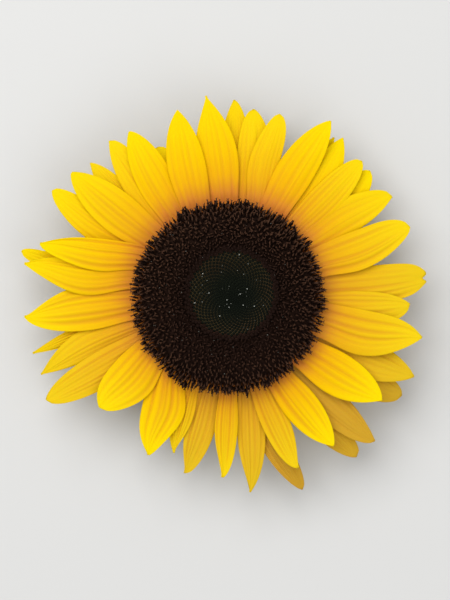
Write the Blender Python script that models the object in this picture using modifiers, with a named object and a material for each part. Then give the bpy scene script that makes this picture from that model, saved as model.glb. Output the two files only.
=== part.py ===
"""A cut sunflower head lying face up on the short stub of its stem.

Metres, +Z up. The origin is on the flower's axis, at the surface that the cut stem rests on.
Angles are degrees clockwise from +Y, seen from above.
"""

import math
import random
from collections import namedtuple

import bmesh
import bpy
from mathutils import Vector, geometry

MM = 0.001
SEED = 42
MERGE_DISTANCE = 0.01 * MM

# Stem stub
STEM_RADIUS = 8.6 * MM
STEM_NECK_RADIUS = 8.0 * MM
STEM_TOP_RADIUS = 11.0 * MM
STEM_HEIGHT = 11.5 * MM
STEM_NECK_AT = 0.35 * STEM_HEIGHT
STEM_FLARE_AT = 0.85 * STEM_HEIGHT
STEM_RIBS = 9
STEM_RIB_DEPTH = 0.25 * MM
STEM_SIDES = 27

# Touching pieces keep this gap
SEAT_GAP = 0.3 * MM

# Receptacle, as radius and height down its back
RECEPTACLE_RADIUS = 33.0 * MM
RECEPTACLE_TOP = 30.1 * MM
RECEPTACLE_SIDES = 36
RECEPTACLE_BACK = [
    (11.4 * MM, STEM_HEIGHT + SEAT_GAP),
    (15.0 * MM, 13.2 * MM),
    (21.0 * MM, 14.9 * MM),
    (27.5 * MM, 17.4 * MM),
    (31.6 * MM, 20.0 * MM),
    (RECEPTACLE_RADIUS, 22.6 * MM),
]

# Bracts, in three rows one above another; the lowest row starts nearest to the stem
BRACT_ROWS = 3
BRACTS_IN_ROW = 10
BRACT_LENGTH = 29.5 * MM
BRACT_WIDTH = 14.5 * MM
BRACT_ROOT_SHARE = 0.8
BRACT_TAPER = 1.5
BRACT_THICKNESS = 0.9 * MM
BRACT_ROOT_RADIUS = 28.0 * MM
BRACT_ROOT_HEIGHT = 20.2 * MM
BRACT_ROW_STEP = 1.6 * MM
BRACT_ROW_SETBACK = 2.6 * MM
BRACT_BELLY = 1.2 * MM
BRACT_BELLY_ENDS_AT = 0.62
BRACT_DROOP = 2.4 * MM
BRACT_DROOP_PER_ROW = 1.6 * MM
BRACT_CUP = 0.8 * MM
BRACT_STRAY = 3.5
BRACT_CELLS = (5, 2)

# Rim that carries the petals
RIM_RADIUS = 35.9 * MM
RIM_HALF_WIDTH = 2.5 * MM
RIM_HALF_HEIGHT = 3.8 * MM
RIM_HEIGHT = 26.2 * MM
RIM_SEGMENTS = (48, 6)

# Petals
PETAL_ROOT_RADIUS = 35.2 * MM
PETAL_ROOT_HEIGHT = 29.0 * MM
PETAL_THICKNESS = 0.7 * MM
PETAL_LAYER_STEP_AT_ROOT = 1.45 * MM
PETAL_LAYER_STEP = 2.1 * MM
PETAL_SPREAD_BY = 0.4
PETAL_RISE = 1.6 * MM
PETAL_RISE_SHARE = 0.75
PETAL_ARCH = 0.9 * MM
PETAL_ARCH_LEAD = 0.1
PETAL_TIP_CURL_FRONT = 3.0 * MM
PETAL_TIP_CURL_PER_LAYER = 3.0 * MM
PETAL_TIP_STRAY = 1.1 * MM
PETAL_CURL_FROM = 0.5
PETAL_ROOT_SHARE = 0.75
PETAL_WIDEST_AT = 0.45
PETAL_TAPER = 2.2
PETAL_CELLS = (8, 3)
TIP_WIDTH = 1.0 * MM

Petal = namedtuple("Petal", "root_angle tip_angle reach left right layer left_tip right_tip bow")

# Clockwise from the top, in millimetres. Left and right are the half widths on the sides that lie
# counter-clockwise and clockwise. A low tip number leaves that side full to a blunt end, a high
# one draws it out to a point. Bow moves the middle clockwise. Layer 0 is the front, 3 the back.
PETALS = [
    Petal(356.0, 353.5, 82.0, 8.0, 9.0, 1.0, 1.35, 1.15, 0.0),
    Petal(2.9, 1.7, 81.3, 5.8, 6.3, 2.9, 0.88, 0.61, 0.1),
    Petal(12.1, 7.8, 77.7, 6.9, 7.6, 2.0, 0.49, 0.70, 0.3),
    Petal(18.5, 15.6, 77.5, 6.5, 6.0, 1.0, 0.56, 0.50, -1.8),
    Petal(27.2, 30.1, 82.6, 7.9, 7.4, 0.1, 0.75, 0.79, -0.3),
    Petal(34.0, 33.5, 78.3, 4.9, 4.9, 3.0, 0.80, 0.80, 0.0),
    Petal(40.5, 35.7, 80.1, 6.6, 7.6, 2.0, 0.80, 0.87, 0.4),
    Petal(44.1, 44.5, 77.7, 6.2, 6.9, 1.0, 0.45, 0.60, 0.2),
    Petal(50.6, 48.3, 77.6, 6.6, 8.0, 2.0, 0.60, 0.54, 0.5),
    Petal(56.0, 58.3, 78.4, 8.2, 6.6, 1.1, 0.48, 0.91, -0.8),
    Petal(69.8, 68.9, 79.1, 8.7, 7.3, 0.4, 0.50, 0.61, 1.5),
    Petal(84.6, 84.5, 81.5, 7.9, 8.2, 1.6, 0.30, 0.48, 0.6),
    Petal(95.3, 92.4, 74.0, 6.7, 8.6, 0.8, 0.76, 0.54, 0.6),
    Petal(104.7, 101.9, 80.2, 10.1, 8.5, 0.0, 0.82, 0.83, 2.3),
    Petal(113.9, 113.3, 82.6, 8.1, 8.6, 1.8, 0.79, 0.82, 0.5),
    Petal(121.6, 119.6, 82.1, 6.9, 8.6, 2.9, 0.54, 0.48, 0.6),
    Petal(126.8, 123.9, 75.0, 9.1, 8.5, 0.0, 0.69, 0.93, 0.2),
    Petal(140.9, 134.5, 84.1, 7.3, 6.8, 1.9, 0.88, 0.56, -0.6),
    Petal(145.6, 141.3, 84.3, 6.4, 6.5, 2.9, 0.38, 0.66, 0.1),
    Petal(148.3, 144.7, 73.9, 7.2, 7.3, 0.0, 0.74, 0.86, -0.3),
    Petal(160.3, 157.9, 75.0, 5.4, 6.1, 1.0, 1.07, 0.57, -0.1),
    Petal(165.2, 159.0, 84.9, 5.7, 5.5, 3.0, 0.53, 0.67, 1.0),
    Petal(167.4, 173.6, 80.5, 5.8, 5.8, 2.0, 0.84, 1.35, 0.2),
    Petal(180.6, 181.9, 73.6, 5.2, 4.2, 1.0, 0.62, 1.50, 0.3),
    Petal(191.3, 194.0, 74.4, 5.9, 6.3, 2.3, 0.50, 1.35, -0.7),
    Petal(205.0, 199.2, 67.5, 5.2, 4.5, 1.5, 1.50, 1.00, 0.0),
    Petal(218.5, 206.8, 72.1, 7.9, 9.8, 0.7, 0.70, 1.15, -3.4),
    Petal(234.9, 229.4, 68.9, 10.0, 9.1, 0.0, 0.49, 0.74, -1.6),
    Petal(241.5, 240.4, 85.2, 7.7, 6.9, 1.0, 0.52, 0.66, -0.4),
    Petal(253.1, 247.5, 83.2, 5.6, 7.1, 2.3, 1.13, 0.98, 0.9),
    Petal(257.1, 253.9, 83.8, 3.2, 3.8, 3.0, 1.01, 1.12, 0.6),
    Petal(267.2, 264.4, 82.9, 9.5, 9.0, 1.6, 0.65, 1.35, 0.0),
    Petal(284.5, 279.3, 83.4, 8.1, 6.9, 0.8, 0.84, 1.25, -3.4),
    Petal(281.1, 282.7, 84.3, 5.6, 3.0, 2.6, 0.45, 0.46, -1.0),
    Petal(297.0, 285.8, 79.4, 8.4, 4.8, 0.0, 0.60, 1.35, -1.8),
    Petal(301.0, 301.1, 84.3, 8.4, 5.2, 1.7, 0.66, 0.46, -1.1),
    Petal(307.5, 308.3, 81.4, 8.7, 8.1, 0.8, 0.71, 0.78, -0.2),
    Petal(312.8, 314.1, 79.1, 6.2, 5.5, 2.5, 0.90, 0.70, -0.4),
    Petal(318.6, 322.6, 80.3, 6.2, 7.4, 1.6, 0.93, 0.51, 0.4),
    Petal(327.0, 329.2, 78.5, 7.6, 7.7, 0.8, 0.76, 0.70, -0.2),
    Petal(331.5, 336.2, 67.0, 6.1, 5.6, 3.0, 0.30, 0.81, 0.0),
    Petal(339.9, 344.7, 78.6, 7.6, 8.0, 0.0, 0.82, 0.88, -0.1),
]

# Disc: a raised ring of open florets round a lower middle of closed buds
DISC_BOTTOM = RECEPTACLE_TOP + SEAT_GAP
DISC_RADIUS = 38.6 * MM
DISC_FOOT_RADIUS = 36.6 * MM
DISC_CROWN_HEIGHT = 38.0 * MM
DISC_CROWN_RADIUS = 27.0 * MM
DISC_EDGE_DROP = 4.6 * MM
DISC_MIDDLE_DROP = 3.4 * MM
BUDS_RADIUS = 17.0 * MM
GOLDEN_ANGLE = math.pi * (3.0 - math.sqrt(5.0))
FLORET_SPACING = 2.7 * MM
FLORET_RELIEF = 1.2 * MM
FLORET_HEIGHT = (0.1 * MM, 1.3 * MM)
FLORET_STRAY = 0.5 * MM
FRINGE_RADIUS = 33.0 * MM
FRINGE_REACH = (2.3 * MM, 4.9 * MM)
FRINGE_LIFT = 1.0 * MM
BUD_SPACING = 2.4 * MM
BUD_RELIEF = 0.7 * MM
BUD_HEIGHT = 0.25 * MM
LATTICE_MARGIN = 0.45


def smooth_step(value):
    """Go from 0 to 1 with level ends as value goes from 0 to 1."""
    value = min(max(value, 0.0), 1.0)
    return value * value * (3.0 - 2.0 * value)


def polar(radius, degrees):
    """Give the plan point at a radius and an angle clockwise from +Y."""
    angle = math.radians(degrees)
    return Vector((radius * math.sin(angle), radius * math.cos(angle)))


def new_object(name, bm, collection):
    """Turn a bmesh into an object and free the bmesh."""
    mesh = bpy.data.meshes.new(name)
    bm.to_mesh(mesh)
    bm.free()
    obj = bpy.data.objects.new(name, mesh)
    collection.objects.link(obj)
    return obj


def give_material(obj, colour, roughness):
    """Give an object its own plain material."""
    material = bpy.data.materials.new(obj.name)
    material.use_nodes = True
    shader = material.node_tree.nodes["Principled BSDF"]
    shader.inputs["Base Color"].default_value = (*colour, 1.0)
    shader.inputs["Roughness"].default_value = roughness
    shader.inputs["Metallic"].default_value = 0.0
    obj.data.materials.clear()
    obj.data.materials.append(material)


def scratch_collection(name):
    """Make a collection for pieces that are joined into a body and then removed."""
    collection = bpy.data.collections.new(name)
    bpy.context.scene.collection.children.link(collection)
    return collection


def join_pieces(body, pieces):
    """Union a collection of closed pieces into a body, and remove the pieces."""
    union = body.modifiers.new("join", "BOOLEAN")
    union.operation = "UNION"
    union.operand_type = "COLLECTION"
    union.collection = pieces
    union.solver = "MANIFOLD"
    bpy.context.view_layer.update()
    depsgraph = bpy.context.evaluated_depsgraph_get()
    joined = bpy.data.meshes.new_from_object(body.evaluated_get(depsgraph))
    body.modifiers.clear()
    body.data = joined
    for piece in list(pieces.objects):
        bpy.data.objects.remove(piece)
    bpy.data.collections.remove(pieces)


def turn_profile(name, profile, sides, collection):
    """Spin a closed outline of radius and height, which starts and ends on the axis."""
    bm = bmesh.new()
    points = [bm.verts.new((radius, 0.0, height)) for radius, height in profile]
    edges = [bm.edges.new(pair) for pair in zip(points, points[1:])]
    bmesh.ops.spin(bm, geom=points + edges, cent=(0.0, 0.0, 0.0), axis=(0.0, 0.0, 1.0),
                   angle=math.tau, steps=sides, use_merge=True)
    bmesh.ops.remove_doubles(bm, verts=bm.verts[:], dist=MERGE_DISTANCE)
    bmesh.ops.dissolve_degenerate(bm, edges=bm.edges[:], dist=MERGE_DISTANCE)
    bmesh.ops.recalc_face_normals(bm, faces=bm.faces[:])
    return new_object(name, bm, collection)


def add_blade(name, cells, place, thickness, collection):
    """Make a thin blade whose points are place(along, across), with along 0..1 and across -1..1."""
    along_cells, across_cells = cells
    bm = bmesh.new()
    bmesh.ops.create_grid(bm, x_segments=across_cells, y_segments=along_cells, size=1.0)
    for vert in bm.verts:
        vert.co = place((vert.co.y + 1.0) / 2.0, vert.co.x)
    bmesh.ops.triangulate(bm, faces=bm.faces[:])
    blade = new_object(name, bm, collection)
    solid = blade.modifiers.new("thickness", "SOLIDIFY")
    solid.thickness = thickness
    solid.offset = 0.0
    return blade


def make_stem(collection):
    """Make the cut stem, with shallow ribs, flared where it meets the head."""
    profile = [
        (0.0, 0.0),
        (STEM_RADIUS, 0.0),
        (STEM_NECK_RADIUS, STEM_NECK_AT),
        ((STEM_NECK_RADIUS + STEM_RADIUS) / 2.0, (STEM_NECK_AT + STEM_FLARE_AT) / 2.0),
        ((STEM_RADIUS + STEM_TOP_RADIUS) / 2.0, STEM_FLARE_AT),
        (STEM_TOP_RADIUS, STEM_HEIGHT),
        (0.0, STEM_HEIGHT),
    ]
    stem = turn_profile("stem", profile, STEM_SIDES, collection)
    for vert in stem.data.vertices:
        radius = vert.co.xy.length
        if radius > 0.0:
            angle = math.atan2(vert.co.x, vert.co.y)
            scale = 1.0 + STEM_RIB_DEPTH / radius * math.cos(STEM_RIBS * angle)
            vert.co.x *= scale
            vert.co.y *= scale
    give_material(stem, (0.17, 0.26, 0.06), 0.6)
    return stem


def bract_point(angle, row, along, across):
    """Give a point of a bract: egg-shaped, drawn out to a point that hangs a little."""
    shape = min(1.0, BRACT_ROOT_SHARE + along) * (1.0 - along ** BRACT_TAPER)
    half_width = 0.5 * max(BRACT_WIDTH * shape, TIP_WIDTH)
    radius = BRACT_ROOT_RADIUS - BRACT_ROW_SETBACK * row + BRACT_LENGTH * along
    height = BRACT_ROOT_HEIGHT - BRACT_ROW_STEP * row
    height += BRACT_BELLY * math.sin(math.pi * min(along / BRACT_BELLY_ENDS_AT, 1.0))
    height -= (BRACT_DROOP + BRACT_DROOP_PER_ROW * row) * along ** 2
    height += BRACT_CUP * across ** 2 * shape
    outward = polar(1.0, angle)
    sideways = polar(1.0, angle + 90.0)
    plan = outward * radius + sideways * half_width * across
    return Vector((plan.x, plan.y, height))


def make_receptacle(collection):
    """Make the green back of the head with its rows of bracts."""
    profile = [(0.0, RECEPTACLE_BACK[0][1])] + RECEPTACLE_BACK
    profile += [(RECEPTACLE_RADIUS, RECEPTACLE_TOP), (0.0, RECEPTACLE_TOP)]
    receptacle = turn_profile("receptacle_and_bracts", profile, RECEPTACLE_SIDES, collection)
    blades = scratch_collection("bracts")
    rng = random.Random(SEED)
    for index in range(BRACT_ROWS * BRACTS_IN_ROW):
        row = index % BRACT_ROWS
        angle = 360.0 * index / (BRACT_ROWS * BRACTS_IN_ROW) + rng.uniform(-BRACT_STRAY, BRACT_STRAY)

        def place(along, across, angle=angle, row=row):
            return bract_point(angle, row, along, across)

        add_blade("bract", BRACT_CELLS, place, BRACT_THICKNESS, blades)
    join_pieces(receptacle, blades)
    give_material(receptacle, (0.12, 0.23, 0.05), 0.6)
    return receptacle


def petal_half_width(petal, along, across):
    """Give a petal's half width on one side: a narrow root, widest near the middle, then its tip."""
    half, tip = (petal.right, petal.right_tip) if across > 0.0 else (petal.left, petal.left_tip)
    if along < PETAL_WIDEST_AT:
        share = PETAL_ROOT_SHARE + (1.0 - PETAL_ROOT_SHARE) * smooth_step(along / PETAL_WIDEST_AT)
    else:
        past = (along - PETAL_WIDEST_AT) / (1.0 - PETAL_WIDEST_AT)
        share = (1.0 - past ** PETAL_TAPER) ** tip
    return max(half * MM * share, TIP_WIDTH / 2.0)


def petal_height(petal, stray, along, across):
    """Give the height of a point on a petal; lower layers hang further below the front ones."""
    spread = smooth_step(along / PETAL_SPREAD_BY)
    step = PETAL_LAYER_STEP_AT_ROOT + (PETAL_LAYER_STEP - PETAL_LAYER_STEP_AT_ROOT) * spread
    height = PETAL_ROOT_HEIGHT - petal.layer * step
    height += PETAL_RISE * math.sin(math.pi * PETAL_RISE_SHARE * along)
    curl = PETAL_TIP_CURL_FRONT - PETAL_TIP_CURL_PER_LAYER * petal.layer + stray
    height += curl * max(0.0, (along - PETAL_CURL_FROM) / (1.0 - PETAL_CURL_FROM)) ** 2
    arch = PETAL_ARCH * math.sin(math.pi * min(along + PETAL_ARCH_LEAD, 1.0))
    return height - arch * across ** 2


def petal_point(petal, stray, along, across):
    """Give a point of a petal, whose middle line swings from its root angle to its tip angle."""
    angle = petal.root_angle + (petal.tip_angle - petal.root_angle) * along
    radius = PETAL_ROOT_RADIUS + (petal.reach * MM - PETAL_ROOT_RADIUS) * along
    swing = math.radians(petal.tip_angle - petal.root_angle) * radius
    lean = math.degrees(math.atan2(swing, petal.reach * MM - PETAL_ROOT_RADIUS))
    sideways = polar(1.0, angle + lean + 90.0)
    offset = petal_half_width(petal, along, across) * across
    offset += petal.bow * MM * math.sin(math.pi * along) ** 2
    plan = polar(radius, angle) + sideways * offset
    return Vector((plan.x, plan.y, petal_height(petal, stray, along, across)))


def make_petals(collection):
    """Make the ray petals, all grown out of one rim."""
    around, section = RIM_SEGMENTS
    bpy.ops.mesh.primitive_torus_add(major_segments=around, minor_segments=section,
                                     major_radius=RIM_RADIUS, minor_radius=RIM_HALF_WIDTH)
    rim = bpy.context.object
    rim.name = "ray_petals"
    rim.data.name = "ray_petals"
    for vert in rim.data.vertices:
        vert.co.z = RIM_HEIGHT + vert.co.z * RIM_HALF_HEIGHT / RIM_HALF_WIDTH
    for owner in list(rim.users_collection):
        owner.objects.unlink(rim)
    collection.objects.link(rim)
    blades = scratch_collection("petals")
    rng = random.Random(SEED)
    for petal in PETALS:
        stray = rng.uniform(-PETAL_TIP_STRAY, PETAL_TIP_STRAY)

        def place(along, across, petal=petal, stray=stray):
            return petal_point(petal, stray, along, across)

        add_blade("petal", PETAL_CELLS, place, PETAL_THICKNESS, blades)
    join_pieces(rim, blades)
    give_material(rim, (0.9, 0.55, 0.02), 0.5)
    return rim


def disc_height(radius):
    """Give the height of the disc's face: lowest in the middle, crowned, falling to the edge."""
    middle = 1.0 - smooth_step(radius / DISC_CROWN_RADIUS)
    edge = max(0.0, (radius - DISC_CROWN_RADIUS) / (DISC_RADIUS - DISC_CROWN_RADIUS))
    return DISC_CROWN_HEIGHT - DISC_MIDDLE_DROP * middle - DISC_EDGE_DROP * edge ** 2


def spiral_lattice(spacing, inner, outer):
    """Give the plan points of a golden-angle spiral that lie between two radii."""
    step = spacing * math.sqrt(math.sqrt(3.0) / math.tau)
    points = []
    index = 0
    while step * math.sqrt(index) < outer:
        radius = step * math.sqrt(index)
        if radius > inner:
            angle = index * GOLDEN_ANGLE
            points.append(Vector((radius * math.cos(angle), radius * math.sin(angle))))
        index += 1
    return points


def circle_points(radius, spacing):
    """Give evenly spaced plan points on a circle."""
    count = round(math.tau * radius / spacing)
    return [polar(radius, 360.0 * index / count) for index in range(count)]


def relief_body(name, spacing, relief, grow, inner, outer, foot, collection):
    """Make a disc or ring faced with a spiral lattice of little peaks, over a flat underside.

    grow(plan) says how far the peak at a plan point stands out of the disc's face.
    """
    margin = LATTICE_MARGIN * spacing
    rims = circle_points(outer, spacing)
    if inner > 0.0:
        rims += circle_points(inner, spacing)
    lattice = spiral_lattice(spacing, inner + margin if inner > 0.0 else -1.0, outer - margin)
    plan, _, triangles, _, _, _ = geometry.delaunay_2d_cdt(rims + lattice, [], [], 0, MERGE_DISTANCE)
    bm = bmesh.new()
    verts = [bm.verts.new((point.x, point.y, disc_height(point.length))) for point in plan]
    for triangle in triangles:
        middle = sum((plan[corner] for corner in triangle), Vector((0.0, 0.0))) / 3.0
        if middle.length > inner:
            bm.faces.new([verts[corner] for corner in triangle])
    bmesh.ops.recalc_face_normals(bm, faces=bm.faces[:])
    if bm.faces[0].normal.z < 0.0:
        bmesh.ops.reverse_faces(bm, faces=bm.faces[:])
    rim_edges = [edge for edge in bm.edges if edge.is_boundary]
    inner_edges = [edge for edge in bm.edges if not edge.is_boundary]
    peaks = [vert for vert in verts if not vert.is_boundary]
    hollows = bmesh.ops.poke(bm, faces=bm.faces[:])["verts"]
    bmesh.ops.rotate_edges(bm, edges=inner_edges)
    for vert in hollows:
        vert.co.z -= relief
    for vert in peaks:
        vert.co += grow(vert.co.xy)
    walls = bmesh.ops.extrude_edge_only(bm, edges=rim_edges)["geom"]
    for vert in (item for item in walls if isinstance(item, bmesh.types.BMVert)):
        scale = foot / outer if vert.co.xy.length > (inner + outer) / 2.0 else 1.0
        vert.co = (vert.co.x * scale, vert.co.y * scale, DISC_BOTTOM)
    foot_edges = [edge for edge in bm.edges if edge.is_boundary]
    bmesh.ops.triangle_fill(bm, edges=foot_edges, use_beauty=True)
    bmesh.ops.recalc_face_normals(bm, faces=bm.faces[:])
    return new_object(name, bm, collection)


def make_florets(collection):
    """Make the dark ring of open florets, which lean out over the petals at its edge."""
    rng = random.Random(SEED + 1)

    def grow(plan):
        edge = smooth_step((plan.length - FRINGE_RADIUS) / (DISC_RADIUS - FRINGE_RADIUS))
        outward = plan.normalized()
        sideways = Vector((outward.y, -outward.x))
        reach = edge * rng.uniform(*FRINGE_REACH)
        lean = outward * reach + sideways * rng.uniform(-FLORET_STRAY, FLORET_STRAY)
        rise = rng.uniform(*FLORET_HEIGHT) + edge * FRINGE_LIFT
        return Vector((lean.x, lean.y, rise))

    ring = relief_body("disc_florets", FLORET_SPACING, FLORET_RELIEF, grow, BUDS_RADIUS + SEAT_GAP,
                       DISC_RADIUS, DISC_FOOT_RADIUS, collection)
    give_material(ring, (0.05, 0.018, 0.01), 0.7)
    return ring


def make_buds(collection):
    """Make the green-black middle of closed buds."""
    rng = random.Random(SEED + 2)

    def grow(plan):
        return Vector((0.0, 0.0, rng.uniform(0.0, BUD_HEIGHT)))

    buds = relief_body("disc_buds", BUD_SPACING, BUD_RELIEF, grow, 0.0, BUDS_RADIUS, BUDS_RADIUS,
                       collection)
    give_material(buds, (0.02, 0.03, 0.012), 0.5)
    return buds


def main():
    """Build the flower head in an empty scene."""
    for obj in list(bpy.data.objects):
        bpy.data.objects.remove(obj)
    sunflower = bpy.data.collections.new("sunflower")
    bpy.context.scene.collection.children.link(sunflower)
    make_stem(sunflower)
    make_receptacle(sunflower)
    make_petals(sunflower)
    make_florets(sunflower)
    make_buds(sunflower)


main()
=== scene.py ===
"""The looks of a cut sunflower head that lies face up on the stub of its stem.

Metres, +Z up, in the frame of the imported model. Angles are degrees clockwise from +Y, seen from
above, as the photograph shows the flower.
"""

import math
import random
from collections import namedtuple

import bmesh
import bpy
from mathutils import Matrix, Vector, noise


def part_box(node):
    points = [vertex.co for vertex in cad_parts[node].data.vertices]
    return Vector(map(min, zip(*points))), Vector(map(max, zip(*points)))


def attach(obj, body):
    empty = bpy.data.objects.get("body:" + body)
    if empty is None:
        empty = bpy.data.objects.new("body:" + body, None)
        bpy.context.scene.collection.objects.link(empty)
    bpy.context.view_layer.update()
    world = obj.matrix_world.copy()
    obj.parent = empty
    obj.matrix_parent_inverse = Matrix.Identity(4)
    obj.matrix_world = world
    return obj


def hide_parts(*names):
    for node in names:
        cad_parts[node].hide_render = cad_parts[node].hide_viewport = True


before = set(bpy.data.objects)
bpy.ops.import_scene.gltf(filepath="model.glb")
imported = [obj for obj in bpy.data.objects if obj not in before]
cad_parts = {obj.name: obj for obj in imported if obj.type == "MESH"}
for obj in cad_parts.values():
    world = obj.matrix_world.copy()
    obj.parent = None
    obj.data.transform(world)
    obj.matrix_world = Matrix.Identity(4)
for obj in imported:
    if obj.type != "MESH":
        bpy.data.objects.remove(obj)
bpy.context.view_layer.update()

MM = 0.001
SEED = 42
GOLDEN_ANGLE = math.degrees(math.pi * (3.0 - math.sqrt(5.0)))
MERGE_DISTANCE = 0.005 * MM
BLADE_UV = "blade"

# The photograph: where the flower's axis is, and how many pixels a millimetre takes there
FRAME_WIDTH_PX = 450.0
FRAME_HEIGHT_PX = 600.0
AXIS_X_PX = 228.5
AXIS_Y_PX = 297.0
PX_PER_MM = 2.457
CAMERA_DISTANCE = 0.95
SENSOR_LONG_SIDE_MM = 36.0
FLOOR_HALF_SIDE = 2.0

# Petals
PETAL_ROOT_RADIUS = 35.2 * MM
PETAL_ROOT_HEIGHT = 29.0 * MM
PETAL_THICKNESS = 0.4 * MM
PETAL_LAYER_STEP_AT_ROOT = 1.45 * MM
PETAL_LAYER_STEP = 2.1 * MM
PETAL_SPREAD_BY = 0.4
PETAL_RISE = 1.6 * MM
PETAL_RISE_SHARE = 0.75
PETAL_ARCH = 0.9 * MM
PETAL_ARCH_LEAD = 0.1
PETAL_TIP_CURL_FRONT = 3.0 * MM
PETAL_TIP_CURL_PER_LAYER = 3.0 * MM
PETAL_TIP_STRAY = 1.1 * MM
PETAL_CURL_FROM = 0.5
PETAL_ROOT_SHARE = 0.75
PETAL_WIDEST_AT = 0.45
PETAL_TAPER = 2.2
PETAL_ROLL = 0.2 * MM
PETAL_ROLLS = 1.2
PETAL_ROLL_LEAD = 0.2
PETAL_WAVE = 0.6 * MM
PETAL_WAVES_ALONG = 3.0
PETAL_WAVES_ACROSS = 0.7
PETAL_WAVE_STRIDE = 5.0
PETAL_WAVE_FULL_AT = 1.0 / 3.0
PETAL_CELLS = (44, 40)
TIP_WIDTH = 0.5 * MM

# Furrows of the petals. Places, gaps and half widths are shares of a petal's half width
FURROW_DEPTH = 0.5 * MM
FURROW_DEPTH_SHARES = (0.4, 0.7, 1.0)
FURROW_HALF_WIDTHS = (0.05, 0.11)
FURROW_GAPS = (0.2, 0.4)
FIRST_FURROW_PLACES = (-0.8, -0.55)
LAST_FURROW_PLACE = 0.8
FURROWS_FADE_FROM = 0.72

# The side where the photograph's petals are smoother, and the blush at their roots is wider
SOFT_SIDE = 5.0
SOFT_SIDE_RELIEF = 0.35
SOFT_RELIEF_FOCUS = 3
SOFT_BLUSH_FOCUS = 6
LOOSE_BLUSH = (0.0, 0.5)

# The small notch in the tip of one petal, which is named by its place in the list below
NOTCHED_PETAL = 11
NOTCHED_END = 0.98
NOTCH_FROM = 5.0 / 6.0
NOTCH_DEPTH = 1.7 * MM
NOTCH_HALF_WIDTH = 1.0 * MM
NOTCH_LOBE_FALL = 1.3 * MM

Petal = namedtuple("Petal",
                   "root_angle tip_angle reach left right layer left_tip right_tip bow shade")

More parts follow.
